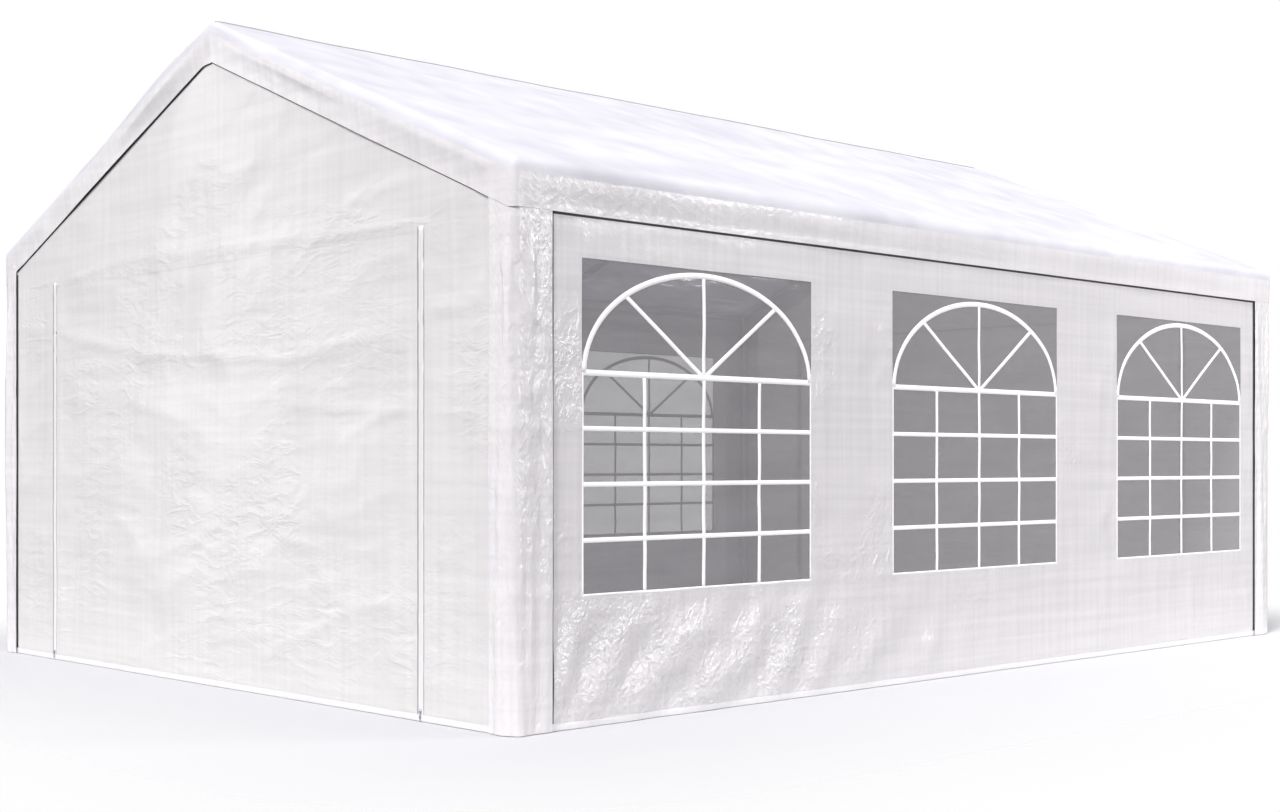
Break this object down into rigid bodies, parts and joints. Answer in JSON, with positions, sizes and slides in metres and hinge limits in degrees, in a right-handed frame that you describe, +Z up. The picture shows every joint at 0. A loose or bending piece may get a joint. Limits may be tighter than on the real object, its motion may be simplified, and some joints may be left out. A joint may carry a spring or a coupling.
{
  "type": "marquee tent",
  "caption": "White party tent with a gable roof on a steel tube frame, side walls with clear lattice windows and zipped gable doors.",
  "frame": {"origin": "middle of the tent's footprint, on the ground", "axes": "+Z up, +Y along the ridge towards the back gable, +X to the right seen from the front gable"},
  "size_m": [4.47, 6.15, 3.1575],
  "materials": {
    "tarpaulin": "white woven polyethylene, laminated, slightly glossy and creased",
    "clear_sheet": "clear flexible sheet, glossy and a little wavy",
    "coated_steel": "pale grey powder coat on steel tube"
  },
  "bodies": {
    "root": {"roof_cover": "tarpaulin", "gable_wall_front": "tarpaulin", "gable_wall_back": "tarpaulin", "door_flap_front": "tarpaulin", "door_flap_back": "tarpaulin", "side_wall_left": "tarpaulin", "side_wall_right": "tarpaulin", "corner_sleeve_front_left": "tarpaulin", "corner_sleeve_front_right": "tarpaulin", "corner_sleeve_back_left": "tarpaulin", "corner_sleeve_back_right": "tarpaulin", "window_pane_left_1": "clear_sheet", "window_pane_left_2": "clear_sheet", "window_pane_left_3": "clear_sheet", "window_pane_right_1": "clear_sheet", "window_pane_right_2": "clear_sheet", "window_pane_right_3": "clear_sheet", "leg_left_1": "coated_steel", "leg_left_2": "coated_steel", "leg_left_3": "coated_steel", "leg_left_4": "coated_steel", "leg_right_1": "coated_steel", "leg_right_2": "coated_steel", "leg_right_3": "coated_steel", "leg_right_4": "coated_steel", "rafter_left_1": "coated_steel", "rafter_left_2": "coated_steel", "rafter_left_3": "coated_steel", "rafter_left_4": "coated_steel", "rafter_right_1": "coated_steel", "rafter_right_2": "coated_steel", "rafter_right_3": "coated_steel", "rafter_right_4": "coated_steel", "eave_rail_left": "coated_steel", "eave_rail_right": "coated_steel", "ridge_rail": "coated_steel", "ridge_joint_front": "coated_steel", "ridge_joint_back": "coated_steel", "corner_joint_front_left": "coated_steel", "corner_joint_front_right": "coated_steel", "corner_joint_back_left": "coated_steel", "corner_joint_back_right": "coated_steel"}
  },
  "joints": []
}
